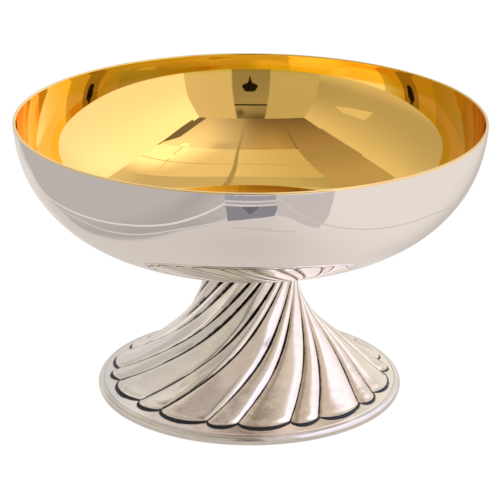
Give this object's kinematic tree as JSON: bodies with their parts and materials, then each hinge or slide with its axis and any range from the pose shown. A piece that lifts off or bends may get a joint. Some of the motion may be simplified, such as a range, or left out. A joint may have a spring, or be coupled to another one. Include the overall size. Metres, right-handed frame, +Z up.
{
  "type": "footed paten",
  "caption": "Wide round bowl, polished silver outside and gilt inside, on a hollow flared foot with spiral gadroons; bowl and foot are clamped by a stud and nut.",
  "frame": {"origin": "centre of the plane that the foot stands on", "axes": "+Z up through the middle of the bowl; the body is turned about Z"},
  "size_m": [0.16, 0.16, 0.0974],
  "materials": {
    "bright_silver": "spun brass, silver plated and mirror polished outside",
    "gilding": "mirror polished gold plate over the bowl's inside and rim",
    "antiqued_silver": "cast and chased brass, silver plated, hand polished with darkened grooves",
    "border_silver": "moulded brass ring, silver plated and polished",
    "seat_brass": "turned brass",
    "plate_brass": "turned brass with soft solder at its edge",
    "stud_brass": "threaded brass rod",
    "washer_steel": "zinc plated",
    "spring_steel": "oiled spring steel",
    "nut_brass": "machined brass"
  },
  "bodies": {
    "vessel": {"bowl": "bright_silver", "foot": "antiqued_silver", "border_ring": "border_silver", "seat_flange": "seat_brass", "neck_plate": "plate_brass", "stud": "stud_brass"},
    "washers": {"plain_washer": "washer_steel", "spring_washer": "spring_steel"},
    "nut": {"hex_nut": "nut_brass"}
  },
  "joints": [
    {"name": "washer_drop", "type": "slide", "parent": "vessel", "child": "washers", "axis": [0, 0, -1], "range_m": [0, 0.005]},
    {"name": "nut_unscrew", "type": "hinge", "parent": "washers", "child": "nut", "pos_m": [0, 0, 0.0425], "axis": [0, 0, -1], "range_deg": [0, 1800]}
  ],
  "couplings": [
    {"joint": "nut_unscrew", "follows": "washer_drop", "rad_per_m": 6283.2}
  ]
}
